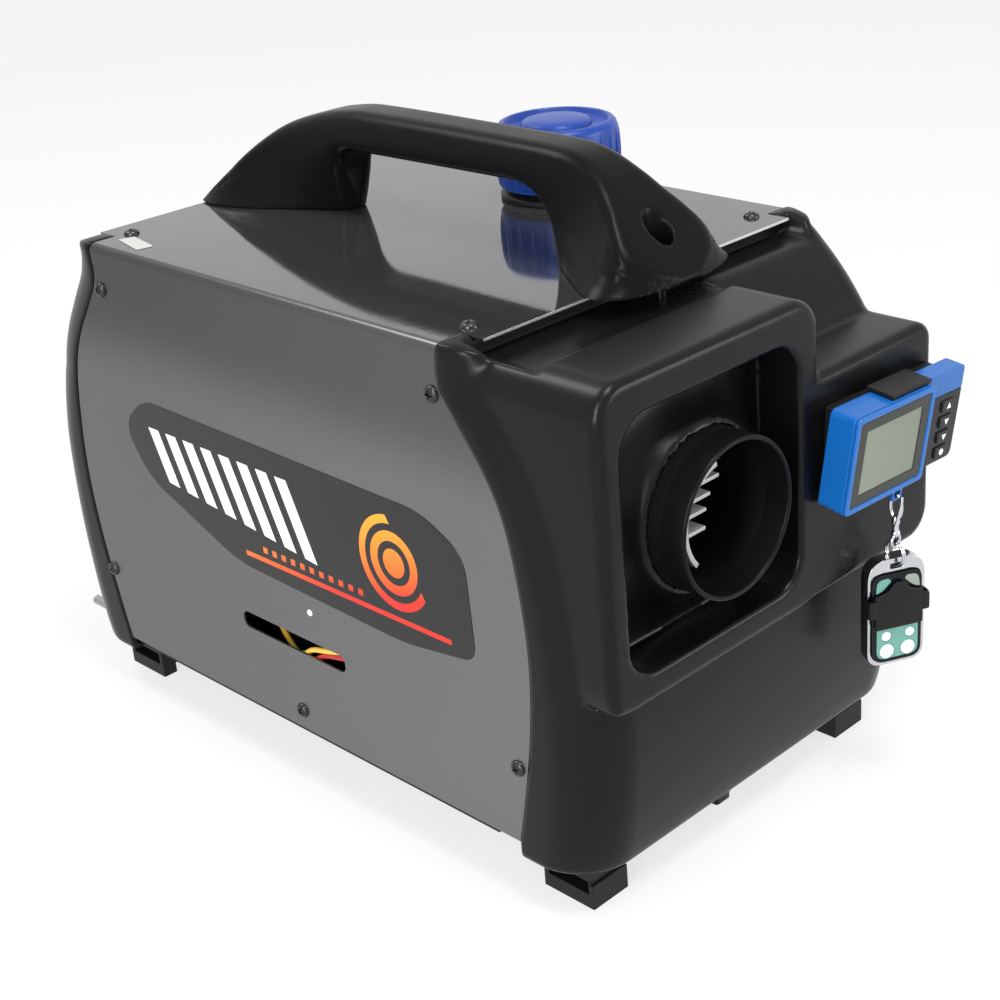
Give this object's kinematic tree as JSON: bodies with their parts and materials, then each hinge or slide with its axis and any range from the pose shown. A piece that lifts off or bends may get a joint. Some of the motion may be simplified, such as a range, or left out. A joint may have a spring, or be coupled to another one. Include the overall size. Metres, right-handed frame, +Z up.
{
  "type": "diesel air heater",
  "caption": "Portable air heater in a grey sheet case with black moulded ends, carrying handle, fuel cap, warm-air outlet, clip-on controller and remote fob.",
  "frame": {"origin": "on the ground, under the middle of the overall length and width", "axes": "+Z up, the warm-air outlet faces -Y, the side with the slot is at -X, the fuel cap and the controller are at +X"},
  "size_m": [0.2466, 0.474, 0.3339],
  "materials": {
    "grey_sheet": "smooth grey coat, low roughness",
    "black_plastic": "satin moulded",
    "dark_plastic": "fine grain",
    "steel": "plain",
    "black_metal": "black powder coat",
    "tank_plastic": "translucent natural",
    "rubber": "matt",
    "cap_blue": "satin",
    "hose": "smooth",
    "yellow_lead": "wire sheath",
    "red_lead": "wire sheath",
    "aluminium": "cast",
    "bright_steel": "polished",
    "controller_blue": "satin",
    "screen": "clear-coated display face",
    "teal": "satin",
    "white_rubber": "soft touch"
  },
  "bodies": {
    "case": {"cover_sheet": "grey_sheet", "front_cap": "black_plastic", "rear_cap": "black_plastic", "intake_grille": "dark_plastic", "power_gland": "dark_plastic", "drain_tube": "steel", "base_tray": "black_metal", "foot_front_left": "dark_plastic", "foot_front_right": "dark_plastic", "foot_rear_left": "dark_plastic", "foot_rear_right": "dark_plastic", "handle": "black_plastic", "handle_bolt_front": "steel", "handle_bolt_rear": "steel", "fuel_tank": "tank_plastic", "filler_collar": "dark_plastic", "fuel_filter": "tank_plastic", "fuel_pump": "steel", "pump_clamp": "rubber", "fuel_hose_tank": "hose", "fuel_hose_pump": "hose", "fuel_line_burner": "hose", "lead_yellow": "yellow_lead", "lead_red": "red_lead", "unit_casing_upper": "dark_plastic", "unit_casing_lower": "dark_plastic", "unit_saddle_front": "steel", "unit_saddle_rear": "steel", "outlet_collar": "black_plastic", "heat_exchanger": "aluminium", "burner_tube": "steel", "combustion_housing": "aluminium", "glow_plug": "steel", "blower_motor": "steel", "control_unit": "dark_plastic", "exhaust_pipe": "steel", "combustion_air_pipe": "dark_plastic", "controller_bracket": "dark_plastic", "controller_case": "controller_blue", "screen_bezel": "dark_plastic", "screen_glass": "screen", "button_panel": "dark_plastic"},
    "fuel_cap_seal": {"cap_seal": "rubber"},
    "fuel_cap": {"fuel_cap": "cap_blue"},
    "rotor": {"motor_shaft": "bright_steel", "fan_wheel": "dark_plastic", "combustion_impeller": "aluminium"},
    "controller_button_1": {"controller_button_1": "rubber"},
    "controller_button_2": {"controller_button_2": "rubber"},
    "controller_button_3": {"controller_button_3": "rubber"},
    "controller_button_4": {"controller_button_4": "rubber"},
    "clasp": {"clasp_hook": "bright_steel"},
    "link": {"fob_link": "bright_steel"},
    "fob": {"fob_frame": "bright_steel", "fob_case": "teal"},
    "fob_slider": {"fob_slider": "dark_plastic"},
    "fob_button_1": {"fob_button_1": "white_rubber"},
    "fob_button_2": {"fob_button_2": "white_rubber"},
    "fob_button_3": {"fob_button_3": "white_rubber"},
    "fob_button_4": {"fob_button_4": "white_rubber"}
  },
  "joints": [
    {"name": "fuel_cap_lift", "type": "slide", "parent": "case", "child": "fuel_cap_seal", "axis": [0, 0, 1], "range_m": [0, 0.0075]},
    {"name": "fuel_cap_turn", "type": "hinge", "parent": "fuel_cap_seal", "child": "fuel_cap", "pos_m": [0.0805, -0.0005, 0.3], "axis": [0, 0, 1], "range_deg": [0, 900]},
    {"name": "rotor_spin", "type": "hinge", "parent": "case", "child": "rotor", "pos_m": [-0.046, 0.0725, 0.194], "axis": [0, 1, 0], "continuous": true},
    {"name": "controller_button_1_press", "type": "slide", "parent": "case", "child": "controller_button_1", "axis": [0.0058, 0.9916, 0.1295], "range_m": [0, 0.0008], "stiffness_N_per_m": 600, "springref_m": -0.0005},
    {"name": "controller_button_2_press", "type": "slide", "parent": "case", "child": "controller_button_2", "axis": [0.0058, 0.9916, 0.1295], "range_m": [0, 0.0008], "stiffness_N_per_m": 600, "springref_m": -0.0005},
    {"name": "controller_button_3_press", "type": "slide", "parent": "case", "child": "controller_button_3", "axis": [0.0058, 0.9916, 0.1295], "range_m": [0, 0.0008], "stiffness_N_per_m": 600, "springref_m": -0.0005},
    {"name": "controller_button_4_press", "type": "slide", "parent": "case", "child": "controller_button_4", "axis": [0.0058, 0.9916, 0.1295], "range_m": [0, 0.0008], "stiffness_N_per_m": 600, "springref_m": -0.0005},
    {"name": "clasp_swing", "type": "hinge", "parent": "case", "child": "clasp", "pos_m": [0.07106, -0.2246, 0.16292], "axis": [0, 1, 0], "range_deg": [-25, 25]},
    {"name": "link_swing", "type": "hinge", "parent": "clasp", "child": "link", "pos_m": [0.07106, -0.2246, 0.13412], "axis": [1, 0, 0], "range_deg": [-35, 0]},
    {"name": "fob_swing", "type": "hinge", "parent": "link", "child": "fob", "pos_m": [0.07106, -0.2246, 0.12432], "axis": [0.2377, 0.9713, 0], "range_deg": [-15, 15]},
    {"name": "fob_cover_slide", "type": "slide", "parent": "fob", "child": "fob_slider", "axis": [0, 0, 1], "range_m": [-0.016, 0.004]},
    {"name": "fob_button_1_press", "type": "slide", "parent": "fob", "child": "fob_button_1", "axis": [0.4618, 0.887, 0], "range_m": [0, 0.0007], "stiffness_N_per_m": 600, "springref_m": -0.0005},
    {"name": "fob_button_2_press", "type": "slide", "parent": "fob", "child": "fob_button_2", "axis": [0.4618, 0.887, 0], "range_m": [0, 0.0007], "stiffness_N_per_m": 600, "springref_m": -0.0005},
    {"name": "fob_button_3_press", "type": "slide", "parent": "fob", "child": "fob_button_3", "axis": [0.4618, 0.887, 0], "range_m": [0, 0.0007], "stiffness_N_per_m": 600, "springref_m": -0.0005},
    {"name": "fob_button_4_press", "type": "slide", "parent": "fob", "child": "fob_button_4", "axis": [0.4618, 0.887, 0], "range_m": [0, 0.0007], "stiffness_N_per_m": 600, "springref_m": -0.0005}
  ],
  "couplings": [
    {"joint": "fuel_cap_turn", "follows": "fuel_cap_lift", "rad_per_m": 2094.4}
  ]
}
